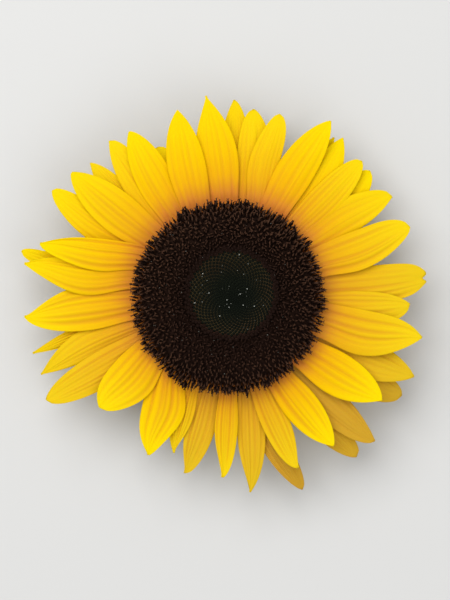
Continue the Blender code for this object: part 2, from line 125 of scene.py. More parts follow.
# Clockwise from the top, in millimetres. Left and right are the half widths on the sides that lie
# counter-clockwise and clockwise. A low tip number leaves that side full to a blunt end, a high
# one draws it out to a point. Bow moves the middle clockwise. Layer 0 is the front, 3 the back.
# Painted shade is 0 for a bright petal and 1 for one of the dull ones at the back: a warm, dull
# orange painted into petals that lie in the shadow of those in front or on the side away from the
# light.
PETALS = [
    Petal(356.0, 353.5, 82.5, 8.0, 9.0, 1.0, 1.35, 1.15, 0.0, 0.00),
    Petal(2.9, 1.7, 81.3, 5.8, 6.3, 2.9, 0.88, 0.61, 0.1, 0.10),
    Petal(12.1, 7.8, 77.7, 6.9, 7.6, 2.0, 0.49, 0.70, 0.3, 0.10),
    Petal(18.5, 15.6, 77.5, 6.5, 6.0, 1.0, 0.56, 0.50, -1.8, 0.10),
    Petal(27.2, 30.1, 82.6, 7.9, 7.4, 0.4, 0.75, 0.79, -0.3, 0.00),
    Petal(34.0, 33.5, 78.3, 4.9, 4.9, 1.9, 0.80, 0.80, 0.0, 0.00),
    Petal(40.5, 35.7, 80.1, 6.6, 7.6, 1.6, 0.80, 0.87, 0.4, 0.00),
    Petal(44.1, 44.5, 77.7, 6.2, 6.9, 1.0, 0.45, 0.60, 0.2, 0.10),
    Petal(50.6, 48.3, 77.6, 6.6, 8.0, 1.7, 0.60, 0.54, 0.5, 0.00),
    Petal(56.0, 58.3, 78.4, 8.2, 6.6, 1.1, 0.48, 0.91, -0.8, 0.10),
    Petal(69.8, 68.9, 79.1, 8.7, 7.3, 0.4, 0.50, 0.61, 1.5, 0.15),
    Petal(84.6, 84.5, 81.5, 7.9, 8.2, 1.6, 0.30, 0.48, 0.6, 0.32),
    Petal(95.3, 92.4, 74.0, 6.7, 8.6, 0.8, 0.76, 0.54, 0.6, 0.28),
    Petal(104.7, 101.9, 80.2, 10.1, 8.5, 0.0, 0.82, 0.83, 2.3, 0.20),
    Petal(113.9, 113.3, 82.6, 8.1, 8.6, 1.8, 0.79, 0.82, 0.5, 0.45),
    Petal(121.6, 119.6, 82.1, 6.9, 8.6, 2.9, 0.54, 0.48, 0.6, 0.75),
    Petal(126.8, 123.9, 75.0, 9.1, 8.5, 0.0, 0.69, 0.93, 0.2, 0.00),
    Petal(140.9, 134.5, 84.1, 7.3, 6.8, 1.9, 0.88, 0.56, -0.6, 0.85),
    Petal(145.6, 141.3, 84.3, 6.4, 6.5, 2.9, 0.38, 0.66, 0.1, 0.80),
    Petal(148.3, 144.7, 73.9, 7.2, 7.3, 0.0, 0.74, 0.86, -0.3, 0.00),
    Petal(160.3, 157.9, 75.0, 5.4, 6.1, 1.0, 1.07, 0.57, -0.1, 0.25),
    Petal(165.2, 159.0, 84.9, 5.7, 5.5, 3.0, 0.53, 0.67, 1.0, 0.90),
    Petal(167.4, 173.6, 80.5, 5.8, 5.8, 2.0, 0.84, 1.35, 0.2, 0.45),
    Petal(180.6, 181.9, 73.6, 5.2, 4.2, 1.0, 0.62, 1.50, 0.3, 0.15),
    Petal(191.3, 194.0, 74.4, 5.9, 6.3, 2.3, 0.50, 1.35, -0.7, 0.45),
    Petal(205.0, 199.2, 67.5, 5.2, 4.5, 1.5, 1.50, 1.00, 0.0, 0.20),
    Petal(218.5, 206.8, 72.1, 7.9, 9.8, 0.7, 0.70, 1.15, -3.4, 0.00),
    Petal(234.9, 229.4, 68.9, 10.0, 9.1, 0.0, 0.49, 0.74, -1.6, 0.05),
    Petal(241.5, 240.4, 85.2, 7.7, 6.9, 1.0, 0.52, 0.66, -0.4, 0.30),
    Petal(253.1, 247.5, 83.2, 5.6, 7.1, 2.3, 1.13, 0.98, 0.9, 0.25),
    Petal(257.1, 253.9, 83.8, 3.2, 3.8, 3.0, 1.01, 1.12, 0.6, 0.15),
    Petal(267.2, 264.4, 83.8, 9.5, 9.0, 1.6, 0.65, 1.35, 0.0, 0.05),
    Petal(284.5, 279.3, 84.2, 8.1, 6.9, 0.8, 0.84, 1.25, -3.4, 0.05),
    Petal(281.1, 282.7, 87.0, 5.6, 3.0, 2.6, 0.45, 0.46, -1.0, 0.05),
    Petal(297.0, 285.8, 79.4, 8.4, 4.8, 0.0, 0.60, 1.35, -1.8, 0.00),
    Petal(301.0, 301.1, 84.3, 8.4, 5.2, 1.7, 0.66, 0.46, -1.1, 0.05),
    Petal(307.5, 308.3, 81.4, 8.7, 8.1, 0.8, 0.71, 0.78, -0.2, 0.05),
    Petal(312.8, 314.1, 79.1, 6.2, 5.5, 2.5, 0.90, 0.70, -0.4, 0.15),
    Petal(318.6, 322.6, 80.3, 6.2, 7.4, 1.6, 0.93, 0.51, 0.4, 0.10),
    Petal(327.0, 329.2, 78.5, 7.6, 7.7, 0.8, 0.76, 0.70, -0.2, 0.00),
    Petal(331.0, 335.0, 68.3, 6.4, 6.2, 3.0, 0.30, 0.45, 0.0, 0.05),
    Petal(339.9, 344.7, 78.6, 7.6, 8.0, 0.0, 0.82, 0.88, -0.1, 0.00),
]

# Disc
DISC_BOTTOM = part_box("disc_buds")[0].z
DISC_RADIUS = 38.6 * MM
DISC_CROWN_HEIGHT = 38.0 * MM
DISC_CROWN_RADIUS = 27.0 * MM
DISC_EDGE_DROP = 4.6 * MM
DISC_MIDDLE_DROP = 3.4 * MM
BED_DEPTH = 1.6 * MM
BED_RADIUS = 36.0 * MM
BED_RINGS = 18
BED_FOOT = 1.4 * MM
BED_RUST_RANGE = 10.0 * MM
BUDS_RADIUS = 17.0 * MM
BUDS_MIDDLE_SHIFT = Vector((2.6, -0.4)) * MM
BUDS_RIM_SHIFT = Vector((1.3, 1.5)) * MM
BUD_FOOT_DEPTH = 1.1 * MM
BUD_SIZES = (0.85 * MM, 1.05 * MM)
BUD_RIM_LEAN = 6.0

# Florets, on one golden spiral with the buds
FLORETS = 2600
FLORET_SPREAD = 0.6
FLORET_FIELD_RADIUS = 37.7 * MM
FLORET_FIELD_SWELL = 0.45 * MM
FLORET_FIELD_SWELL_AT = 205.0
YOUNG_SHARE = 0.1
YOUNG_WIDTH = 1.1
YOUNG_HEIGHTS = (1.3, 1.9)
YOUNG_FOOT_DEPTH = 1.0 * MM
YOUNG_LEAN = 8.0
OUTER_FLORETS_FROM = 0.55

# Open florets. The first number of a pair holds next to the buds and the second at the edge
FLORET_LEANS = (8.0, 50.0)
FLORET_HEADING_STRAYS = (50.0, 10.0)
FLORET_HEIGHTS = (0.52, 0.74)
FLORET_TONES = (0.16, 1.0)
FLORET_LEAN_STRAY = 8.0
FLORET_PLACE_STRAY = 0.35 * MM

# What a floret sunk by a share of 1 gains in lean and keeps of its height, and how deep the foot
# of a floret is at a share of 0 and of 1
SUNK_LEAN = 24.0
SUNK_HEIGHT_SHARE = 0.65
SUNK_FOOT_DEPTHS = (1.5 * MM, 3.4 * MM)

# Kinds of open floret: how far the lobes' points spread, and the angle of the fork's arms
FLORET_KINDS = [(0.2, 30.0), (0.4, 48.0), (0.3, 16.0)]

# The parts of an open floret, in millimetres before it is scaled
TUBE_HEIGHT = 2.2
COLUMN_HEIGHT = 2.2
COLUMN_FOOT = 1.8
ARM_HEIGHT = 0.4
ARM_FOOT = 3.9
ARM_TIP = 0.85

# The fringe of the disc. Pushes are millimetres outwards
FRINGE_FLORETS = 210
FRINGE_TUFTS = 48
TUFT_PUSHES = (-0.5, 2.5)
TUFT_SPREAD = 1.5
TUFT_PUSH_STRAY = 0.5
LOW_FRINGE_FLORETS = 260
LOW_FRINGE_PUSH_STRAY = 0.3
LOW_FRINGE_SUNK = (0.4, 1.5)

# Pollen and painted glints: the bright grains are painted highlights, pale specks put where the
# photograph shows them, in millimetres; the faint grains are pollen
FAINT_POLLEN = 110
POLLEN_FIELD_RADIUS = 0.96 * FLORET_FIELD_RADIUS
GRAIN_LIFT = 0.15 * MM
PAINTED_GLINTS = [(-10.4, 9.4), (-7.9, 1.6), (-13.6, -2.4), (7.5, 3.3), (4.7, 1.2), (-0.6, -1.2),
                 (5.9, -3.3), (10.4, -3.7), (0.2, -4.1), (-3.5, -7.7), (4.3, 17.1)]

# Bracts
BRACT_ROWS = 3
BRACTS_IN_ROW = 10
BRACT_LENGTH = 29.5 * MM
BRACT_WIDTH = 14.5 * MM
BRACT_ROOT_SHARE = 0.8
BRACT_TAPER = 1.5
BRACT_THICKNESS = 0.6 * MM
BRACT_ROOT_RADIUS = 28.0 * MM
BRACT_ROOT_HEIGHT = 20.2 * MM
BRACT_ROW_STEP = 1.6 * MM
BRACT_ROW_SETBACK = 2.6 * MM
BRACT_BELLY = 1.2 * MM
BRACT_BELLY_ENDS_AT = 0.62
BRACT_DROOP = 2.4 * MM
BRACT_DROOP_PER_ROW = 1.6 * MM
BRACT_CUP = 0.8 * MM
BRACT_GROOVE = 0.35 * MM
BRACT_GROOVE_HALF_WIDTH = 0.12
BRACT_STRAY = 3.5
BRACT_CELLS = (22, 8)
BRACT_HAIRS_A_SIDE = 22
BRACT_HAIR_SPACING = 1.0 / 27.0
BRACT_HAIR_FIRST = 4.0
BRACT_HAIR_LENGTHS = (0.9 * MM, 1.7 * MM)

# Receptacle and stem
RECEPTACLE_BACK = [
    (11.4 * MM, 11.8 * MM),
    (15.0 * MM, 13.2 * MM),
    (21.0 * MM, 14.9 * MM),
    (27.5 * MM, 17.4 * MM),
    (31.6 * MM, 20.0 * MM),
    (33.0 * MM, 22.6 * MM),
]
RECEPTACLE_TOP = 30.1 * MM
RIM_PROFILE = [
    (33.2 * MM, 22.6 * MM),
    (36.2 * MM, 23.6 * MM),
    (37.4 * MM, 26.0 * MM),
    (37.2 * MM, 28.6 * MM),
    (36.0 * MM, 30.0 * MM),
    (33.2 * MM, 30.0 * MM),
]
RIM_SIDES_A_PETAL = 6
RIM_RIB_DEPTH = 0.35 * MM
STEM_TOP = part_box("stem")[1].z
STEM_RADIUS = 8.6 * MM
STEM_NECK_RADIUS = 8.0 * MM
STEM_TOP_RADIUS = 11.4 * MM
STEM_WAIST_ENDS_AT = 0.7
STEM_FLARE_FROM = 0.45
STEM_RINGS = 12
STEM_RIBS = 9
STEM_RIB_DEPTH = 0.25 * MM
STEM_CUT_RADIUS = 0.97 * STEM_RADIUS
STEM_CUT_EDGE = 0.2 * MM
PITH_RADIUS = 0.72 * STEM_RADIUS
STEM_HAIRS = 420
STEM_HAIR_SPAN = (0.06, 0.98)
STEM_HAIR_LENGTHS = (1.0 * MM, 2.0 * MM)
HAIR_ROOT_DEPTH = 0.15 * MM


def smooth_step(value):
    """Go from 0 to 1 with level ends as value goes from 0 to 1."""
    value = min(max(value, 0.0), 1.0)
    return value * value * (3.0 - 2.0 * value)


def mix(low, high, share):
    """Go from low to high as share goes from 0 to 1."""
    return low + (high - low) * share


def polar(radius, degrees):
    """Give the plan point at a radius and an angle clockwise from +Y."""
    angle = math.radians(degrees)
    return Vector((radius * math.sin(angle), radius * math.cos(angle)))


def add_piece(name, bm, materials, replaces=(), smooth=True):
    """Turn a bmesh into a piece of the flower that rides on its one body."""
    mesh = bpy.data.meshes.new(name)
    bm.to_mesh(mesh)
    bm.free()
    for material in materials:
        mesh.materials.append(material)
    if smooth:
        mesh.shade_smooth()
    piece = bpy.data.objects.new(name, mesh)
    bpy.context.scene.collection.objects.link(piece)
    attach(piece, "root")
    if replaces:
        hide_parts(*replaces)
    return piece


class Finish:
    """A procedural material under construction, with short ways to add its nodes."""

    def __init__(self, name, roughness, **sockets):
        self.material = bpy.data.materials.new(name)
        self.material.use_nodes = True
        self.tree = self.material.node_tree
        self.shader = self.tree.nodes["Principled BSDF"]
        self.shader.inputs["Roughness"].default_value = roughness
        for socket, value in sockets.items():
            self.shader.inputs[socket.replace("_", " ")].default_value = value

    def node(self, kind, **sockets):
        """Add a node, with its sockets linked or set by name."""
        node = self.tree.nodes.new(kind)
        for socket, value in sockets.items():
            self.feed(node.inputs[socket], value)
        return node

    def feed(self, socket, value):
        """Link an output to a socket, or set the socket's number."""
        if isinstance(value, bpy.types.NodeSocket):
            self.tree.links.new(value, socket)
        else:
            socket.default_value = value

    def math(self, operation, first, second=0.0, third=0.0):
        """Add a math node and give its result."""
        node = self.tree.nodes.new("ShaderNodeMath")
        node.operation = operation
        for socket, value in zip(node.inputs, (first, second, third)):
            self.feed(socket, value)
        return node.outputs[0]

    def ramp(self, value, stops):
        """Add a colour ramp over a value; a stop is a place and a grey or a colour."""
        node = self.tree.nodes.new("ShaderNodeValToRGB")
        self.feed(node.inputs[0], value)
        elements = node.color_ramp.elements
        while len(elements) < len(stops):
            elements.new(0.5)
        for element, (place, colour) in zip(elements, stops):
            element.position = place
            if isinstance(colour, float):
                colour = (colour, colour, colour)
            element.color = (*colour, 1.0)
        return node.outputs[0]

    def blend(self, share, first, second):
        """Blend two colours by a share."""
        node = self.tree.nodes.new("ShaderNodeMix")
        node.data_type = "RGBA"
        self.feed(node.inputs[0], share)
        for socket, colour in ((node.inputs[6], first), (node.inputs[7], second)):
            if isinstance(colour, tuple):
                colour = (*colour, 1.0)
            self.feed(socket, colour)
        return node.outputs[2]

    def noise(self, vector, scale, detail=2.0, roughness=0.5):
        """Add a noise texture and give its grey value."""
        node = self.tree.nodes.new("ShaderNodeTexNoise")
        self.feed(node.inputs["Vector"], vector)
        node.inputs["Scale"].default_value = scale
        node.inputs["Detail"].default_value = detail
        node.inputs["Roughness"].default_value = roughness
        return node.outputs[0]

    def position(self):
        """Give the point's place on the object."""
        return self.tree.nodes.new("ShaderNodeTexCoord").outputs["Object"]

    def attribute(self, name):
        """Give a number that the mesh holds."""
        node = self.tree.nodes.new("ShaderNodeAttribute")
        node.attribute_name = name
        return node.outputs["Fac"]

    def finish(self, colour, bump=None, strength=0.3, distance=0.2 * MM, rough=None):
        """Set the colour, and the bump and roughness where they vary."""
        self.feed(self.shader.inputs["Base Color"], colour)
        if rough is not None:
            self.feed(self.shader.inputs["Roughness"], rough)
        if bump is not None:
            node = self.tree.nodes.new("ShaderNodeBump")
            node.inputs["Strength"].default_value = strength
            node.inputs["Distance"].default_value = distance
            self.feed(node.inputs["Height"], bump)
            self.feed(self.shader.inputs["Normal"], node.outputs[0])
        return self.material


def blade_coordinates(finish):
    """Give a blade's across and along numbers, both 0 to 1, and its own random tone."""
    uv = finish.tree.nodes.new("ShaderNodeUVMap")
    uv.uv_map = BLADE_UV
    parts = finish.node("ShaderNodeSeparateXYZ", Vector=uv.outputs[0])
    return parts.outputs[0], parts.outputs[1], finish.attribute("tone")


def vein_pattern(finish, across, along, tone, count, stretch):
    """Give fine lengthways streaks that differ from blade to blade."""
    place = finish.node("ShaderNodeCombineXYZ", X=finish.math("MULTIPLY", across, count),
                        Y=finish.math("MULTIPLY", along, stretch),
                        Z=finish.math("MULTIPLY", tone, 40.0))
    return finish.noise(place.outputs[0], 1.0, 3.0, 0.6)


def petal_front_finish():
    """Bright yellow, with an orange-brown blush at the root; painted shading darkens the furrows to
    orange-brown and draws the blush out along them, and a warm painted shading dulls petals that
    lie in others' shadow.
    """
    made = Finish("petal face", 0.55, Subsurface_Weight=0.1, Subsurface_Scale=0.001,
                  Specular_IOR_Level=0.02)
    made.shader.inputs["Subsurface Radius"].default_value = (1.0, 0.6, 0.1)
    across, along, tone = blade_coordinates(made)
    furrow_shade = made.attribute("furrow")
    streaks = vein_pattern(made, across, along, tone, 7.0, 0.8)
    veins = vein_pattern(made, across, along, tone, 34.0, 1.2)
    # painted shade in the furrows: the deeper the furrow, the further the root's orange-brown runs
    # out along it
    place = made.math("MULTIPLY_ADD", furrow_shade, -0.07, along)
    place = made.math("MULTIPLY_ADD", made.math("SUBTRACT", streaks, 0.5), -0.2, place)
    place = made.math("MULTIPLY_ADD", made.attribute("blush"), -0.07, place)
    base = made.ramp(place, [
        (0.03, (0.52, 0.150, 0.028)),
        (0.09, (0.64, 0.225, 0.026)),
        (0.145, (0.68, 0.285, 0.012)),
        (0.24, (0.76, 0.390, 0.003)),
        (0.42, (0.80, 0.480, 0.0005)),
        (0.68, (0.82, 0.565, 0.0005)),
        (1.0, (0.83, 0.625, 0.0005)),
    ])
    fade = made.ramp(along, [(0.0, 1.0), (0.6, 0.7), (1.0, 0.15)])
    # painted shade: the furrows are darkened to orange-brown, fading out towards the tip
    colour = made.blend(made.math("MULTIPLY", made.math("MULTIPLY", furrow_shade, fade), 0.74), base,
                        (0.58, 0.235, 0.012))
    vein_share = made.math("MULTIPLY", made.ramp(veins, [(0.35, 1.0), (0.6, 0.0)]), fade)
    colour = made.blend(made.math("MULTIPLY", vein_share, 0.24), colour, (0.62, 0.27, 0.008))
    # painted shade: petals in the shadow of others, or facing away from the light, are blended to a
    # warm dull orange
    colour = made.blend(made.attribute("shade"), colour, (0.50, 0.265, 0.026))
    rough = made.math("MULTIPLY_ADD", veins, 0.2, 0.45)
    return made.finish(colour, veins, 0.3, 0.2 * MM, rough)


def petal_back_finish():
    """The duller underside, with raised veins and a green-yellow root."""
    made = Finish("petal underside", 0.6, Specular_IOR_Level=0.15)
    across, along, tone = blade_coordinates(made)
    base = made.ramp(along, [
        (0.05, (0.34, 0.30, 0.02)),
        (0.25, (0.66, 0.42, 0.01)),
        (1.0, (0.82, 0.52, 0.005)),
    ])
    veins = vein_pattern(made, across, along, tone, 26.0, 0.9)
    share = made.math("MULTIPLY", made.ramp(veins, [(0.5, 0.0), (0.62, 1.0)]), 0.5)
    colour = made.blend(share, base, (0.46, 0.33, 0.01))
    return made.finish(colour, veins, 0.6, 0.4 * MM)


def blade_sheet(cells):
    """Make a flat sheet, -1 to 1 across and along, whose UV map runs from 0 to 1."""
    along_cells, across_cells = cells
    bm = bmesh.new()
    bmesh.ops.create_grid(bm, x_segments=across_cells, y_segments=along_cells, size=1.0)
    uv = bm.loops.layers.uv.new(BLADE_UV)
    for face in bm.faces:
        for loop in face.loops:
            loop[uv].uv = ((loop.vert.co.x + 1.0) / 2.0, (loop.vert.co.y + 1.0) / 2.0)
    return bm


def thicken(piece, thickness, offset):
    """Give a thin sheet its thickness; an offset of -1 puts it all below the sheet."""
    solid = piece.modifiers.new("thickness", "SOLIDIFY")
    solid.thickness = thickness
    solid.offset = offset
    return solid


def petal_half_width(petal, along, across):
    """Give a petal's half width on one side: narrow at the root and widest near the middle."""
    half, tip = (petal.right, petal.right_tip) if across > 0.0 else (petal.left, petal.left_tip)
    if along < PETAL_WIDEST_AT:
        share = mix(PETAL_ROOT_SHARE, 1.0, smooth_step(along / PETAL_WIDEST_AT))
    else:
        past = (along - PETAL_WIDEST_AT) / (1.0 - PETAL_WIDEST_AT)
        share = (1.0 - past ** PETAL_TAPER) ** tip
    return max(half * MM * share, TIP_WIDTH / 2.0)


def petal_height(petal, stray, along, across):
    """Give the height of a petal's sheet; lower layers hang further below the front ones."""
    spread = smooth_step(along / PETAL_SPREAD_BY)
    step = mix(PETAL_LAYER_STEP_AT_ROOT, PETAL_LAYER_STEP, spread)
    height = PETAL_ROOT_HEIGHT - petal.layer * step
    height += PETAL_RISE * math.sin(math.pi * PETAL_RISE_SHARE * along)
    curl = PETAL_TIP_CURL_FRONT - PETAL_TIP_CURL_PER_LAYER * petal.layer + stray
    height += curl * max(0.0, (along - PETAL_CURL_FROM) / (1.0 - PETAL_CURL_FROM)) ** 2
    arch = PETAL_ARCH * math.sin(math.pi * min(along + PETAL_ARCH_LEAD, 1.0))
    return height - arch * across ** 2


def furrows_of(rng):
    """Give a petal's lengthways furrows as place across, depth share and half width."""
    furrows = []
    place = rng.uniform(*FIRST_FURROW_PLACES)
    while place < LAST_FURROW_PLACE:
        furrows.append((place, rng.choice(FURROW_DEPTH_SHARES), rng.uniform(*FURROW_HALF_WIDTHS)))
        place += rng.uniform(*FURROW_GAPS)
    return furrows


def furrow_share(furrows, along, across):
    """Give how deep a point lies in a furrow, 0 on a ridge to 1; furrows fade out at the tip."""
    share = 0.0
    for place, depth, width in furrows:
        share = max(share, depth * math.exp(-((across - place) / width) ** 2))
    return share * (1.0 - smooth_step((along - FURROWS_FADE_FROM) / (1.0 - FURROWS_FADE_FROM)))


def petal_relief(phase, strength, furrows, along, across):
    """Give how far a petal's rolls, furrows and wavy sides lift or sink a point of its sheet."""
    body = math.sin(math.pi * min(mix(PETAL_ROLL_LEAD, 1.0, along), 1.0)) ** 0.5
    relief = PETAL_ROLL * strength * body * math.cos(math.tau * PETAL_ROLLS * across + phase)
    relief -= FURROW_DEPTH * strength * furrow_share(furrows, along, across)
    wave = noise.noise(Vector((along * PETAL_WAVES_ALONG, across * PETAL_WAVES_ACROSS + phase,
                               phase * PETAL_WAVE_STRIDE)))
    return relief + PETAL_WAVE * wave * across ** 2 * smooth_step(along / PETAL_WAVE_FULL_AT)


def petal_point(petal, stray, phase, strength, furrows, along, across):
    """Give a point of a petal, whose middle line swings from its root angle to its tip angle."""
    angle = mix(petal.root_angle, petal.tip_angle, along)
    radius = mix(PETAL_ROOT_RADIUS, petal.reach * MM, along)
    swing = math.radians(petal.tip_angle - petal.root_angle) * radius
    lean = math.degrees(math.atan2(swing, petal.reach * MM - PETAL_ROOT_RADIUS))
    notched = petal is PETALS[NOTCHED_PETAL]
    offset = petal_half_width(petal, along * (NOTCHED_END if notched else 1.0), across) * across
    offset += petal.bow * MM * math.sin(math.pi * along) ** 2
    if notched:
        notch = NOTCH_DEPTH * math.exp(-(offset / NOTCH_HALF_WIDTH) ** 2)
        tip = smooth_step((along - NOTCH_FROM) / (1.0 - NOTCH_FROM))
        radius -= tip * (notch + NOTCH_LOBE_FALL * across ** 4)
    plan = polar(radius, angle) + polar(1.0, angle + lean + 90.0) * offset
    height = petal_height(petal, stray, along, across)
    height += petal_relief(phase, strength, furrows, along, across)
    return Vector((plan.x, plan.y, height))


def add_petals(front, back):
    """Make each petal as its own thin sheet with an underside."""
    rng = random.Random(SEED)
    strays = [rng.uniform(-PETAL_TIP_STRAY, PETAL_TIP_STRAY) for _ in PETALS]
    for index, (petal, stray) in enumerate(zip(PETALS, strays)):
        phase = rng.uniform(0.0, math.tau)
        furrows = furrows_of(rng)
        softness = 0.5 + 0.5 * math.cos(math.radians(petal.tip_angle - SOFT_SIDE))
        strength = mix(1.0, SOFT_SIDE_RELIEF, softness ** SOFT_RELIEF_FOCUS)
        blush = mix(rng.uniform(*LOOSE_BLUSH), 1.0, softness ** SOFT_BLUSH_FOCUS)
        bm = blade_sheet(PETAL_CELLS)
        tones = bm.verts.layers.float.new("tone")
        painted_shades = bm.verts.layers.float.new("shade")
        # how deep each point lies in a furrow, which carries the painted furrow shade
        furrow_shade = bm.verts.layers.float.new("furrow")
        blushes = bm.verts.layers.float.new("blush")
        for vert in bm.verts:
            across, along = vert.co.x, (vert.co.y + 1.0) / 2.0
            vert[tones] = index / len(PETALS)
            # the petal's painted shade, the same all over it
            vert[painted_shades] = petal.shade
            vert[blushes] = blush
            vert[furrow_shade] = strength * furrow_share(furrows, along, across)
            vert.co = petal_point(petal, stray, phase, strength, furrows, along, across)
        piece = add_piece(f"petal_{index + 1:02d}", bm, [front, back],
                          ["ray_petals"])
        thicken(piece, PETAL_THICKNESS, -1.0).material_offset = 1


def turned(profile, sides, ring=False):
    """Spin an outline of radius and height into a closed bmesh.

    The outline starts and ends on the axis, or is a closed ring that stays clear of it.
    """
    bm = bmesh.new()
    points = [bm.verts.new((radius, 0.0, height)) for radius, height in profile]
    following = points[1:] + points[:1] if ring else points[1:]
    edges = [bm.edges.new(pair) for pair in zip(points, following)]
    bmesh.ops.spin(bm, geom=points + edges, cent=(0.0, 0.0, 0.0), axis=(0.0, 0.0, 1.0),
                   angle=math.tau, steps=sides, use_merge=True)
    bmesh.ops.remove_doubles(bm, verts=bm.verts[:], dist=MERGE_DISTANCE)
    bmesh.ops.dissolve_degenerate(bm, edges=bm.edges[:], dist=MERGE_DISTANCE)
    bmesh.ops.recalc_face_normals(bm, faces=bm.faces[:])
    return bm


def press_ribs(bm, count, depth, from_radius=0.0):
    """Shape shallow upright ribs into a turned bmesh, outside a radius."""
    for vert in bm.verts:
        radius = vert.co.xy.length
        if radius > from_radius:
            angle = math.atan2(vert.co.x, vert.co.y)
            scale = 1.0 + depth / radius * math.cos(count * angle)
            vert.co.x *= scale
            vert.co.y *= scale


def disc_height(radius):
    """Give the height of the disc's face: lowest in the middle, crowned, falling to the edge."""
    middle = 1.0 - smooth_step(radius / DISC_CROWN_RADIUS)
    edge = max(0.0, (radius - DISC_CROWN_RADIUS) / (DISC_RADIUS - DISC_CROWN_RADIUS))
    return DISC_CROWN_HEIGHT - DISC_MIDDLE_DROP * middle - DISC_EDGE_DROP * edge ** 2


def add_bed(material):
    """Make the dark bed that the florets and buds stand in."""
    radii = [BED_RADIUS * step / BED_RINGS for step in range(BED_RINGS)]
    profile = [(radius, disc_height(radius) - BED_DEPTH) for radius in radii]
    profile += [(BED_RADIUS, disc_height(BED_RADIUS) - 2.0 * BED_DEPTH)]
    profile += [(BED_RADIUS, DISC_BOTTOM - BED_FOOT), (0.0, DISC_BOTTOM - BED_FOOT)]
    add_piece("disc_bed", turned(profile, 96), [material],
              ["disc_florets", "disc_buds"])


def shape_mesh(name, bm):
    """Keep a small bmesh as a mesh to be copied many times, with a tone for each copy."""
    mesh = bpy.data.meshes.new(name)
    bm.to_mesh(mesh)
    bm.free()
    mesh.attributes.new("tone", "FLOAT", "POINT")
    return mesh


def add_fork_arm(bm, warmth, side, fork):
    """Add one pointed arm of an open floret's fork, turned out to its side."""
    arm = bmesh.ops.create_cone(bm, cap_ends=True, segments=5, radius1=0.15, radius2=0.18,
                                depth=ARM_HEIGHT)["verts"]
    bmesh.ops.translate(bm, verts=arm, vec=(0.0, 0.0, ARM_HEIGHT / 2.0))
    ends = [vert for vert in arm if vert.co.z > ARM_HEIGHT / 2.0]
    cap = next(face for face in ends[0].link_faces if all(vert in ends for vert in face.verts))
    tip = bmesh.ops.extrude_discrete_faces(bm, faces=[cap])["faces"][0]
    for vert in tip.verts:
        vert.co = (0.6 * vert.co.x + side * 0.2, 0.6 * vert.co.y, ARM_TIP)
        vert[warmth] = 0.3
    for vert in arm:
        vert[warmth] = 0.55
    place = Matrix.Translation((0.0, 0.0, ARM_FOOT))
    place @= Matrix.Rotation(side * math.radians(fork), 4, "Y")
    bmesh.ops.transform(bm, matrix=place, verts=arm + tip.verts[:])


def open_floret_mesh(spread, fork):
    """One open floret, 1 mm units: a tube with five pointed lobes, a column and a dark fork."""
    bm = bmesh.new()
    warmth = bm.verts.layers.float.new("warmth")
    tube = bmesh.ops.create_cone(bm, cap_ends=False, segments=10, radius1=0.40, radius2=0.50,
                                 depth=TUBE_HEIGHT)
    rim = [vert for vert in tube["verts"] if vert.co.z > 0.0]
    rim_edges = [edge for edge in bm.edges if all(vert in rim for vert in edge.verts)]
    flare = bmesh.ops.extrude_edge_only(bm, edges=rim_edges)["geom"]
    lobes = [item for item in flare if isinstance(item, bmesh.types.BMVert)]
    for vert in lobes:
        angle = math.atan2(vert.co.y, vert.co.x)
        point = 0.5 + 0.5 * math.cos(5.0 * angle)
        reach = mix(0.9, 1.0 + spread, point)
        vert.co = (vert.co.x * reach, vert.co.y * reach, vert.co.z + mix(0.05, 0.6, point))
        vert[warmth] = mix(0.2, 0.7, point)
    bmesh.ops.translate(bm, verts=bm.verts[:], vec=(0.0, 0.0, TUBE_HEIGHT / 2.0))
    column = bmesh.ops.create_cone(bm, cap_ends=True, segments=6, radius1=0.22, radius2=0.28,
                                   depth=COLUMN_HEIGHT)["verts"]
    for vert in column:
        vert[warmth] = 1.0 if vert.co.z > 0.0 else 0.1
    middle = COLUMN_FOOT + COLUMN_HEIGHT / 2.0
    bmesh.ops.translate(bm, verts=column, vec=(0.0, 0.0, middle))
    for side in (-1.0, 1.0):
        add_fork_arm(bm, warmth, side, fork)
    return shape_mesh("open floret", bm)


def bud_mesh():
    """One closed bud, 1 mm units: a five-sided dome whose flank is paler than its top."""
    radius = 0.8
    bm = bmesh.new()
    warmth = bm.verts.layers.float.new("warmth")
    bmesh.ops.create_uvsphere(bm, u_segments=10, v_segments=8, radius=radius)
    low = [vert for vert in bm.verts if vert.co.z < -0.1]
    bmesh.ops.delete(bm, geom=low, context="VERTS")
    for vert in bm.verts:
        angle = math.atan2(vert.co.y, vert.co.x)
        rise = max(vert.co.z, 0.0) / radius
        fold = 1.0 - 0.12 * rise * (0.5 - 0.5 * math.cos(5.0 * angle))
        vert[warmth] = 1.0 - smooth_step((rise - 0.3) / 0.4)
        vert.co = (vert.co.x * fold, vert.co.y * fold, vert.co.z * 1.25)
    bmesh.ops.translate(bm, verts=bm.verts[:], vec=(0.0, 0.0, 0.2))
    return shape_mesh("bud", bm)


def grain_mesh():
    """One pale grain, 1 mm units, used for pollen and for painted glints."""
    bm = bmesh.new()
    bm.verts.layers.float.new("warmth")
    bmesh.ops.create_icosphere(bm, subdivisions=1, radius=0.2)
    return shape_mesh("pale grain", bm)


def hair_mesh():
    """One stiff hair, 1 mm units, standing on its root."""
    bm = bmesh.new()
    bmesh.ops.create_cone(bm, cap_ends=False, segments=3, radius1=0.07, radius2=0.01, depth=1.0)
    bmesh.ops.translate(bm, verts=bm.verts[:], vec=(0.0, 0.0, 0.5))
    return shape_mesh("hair", bm)


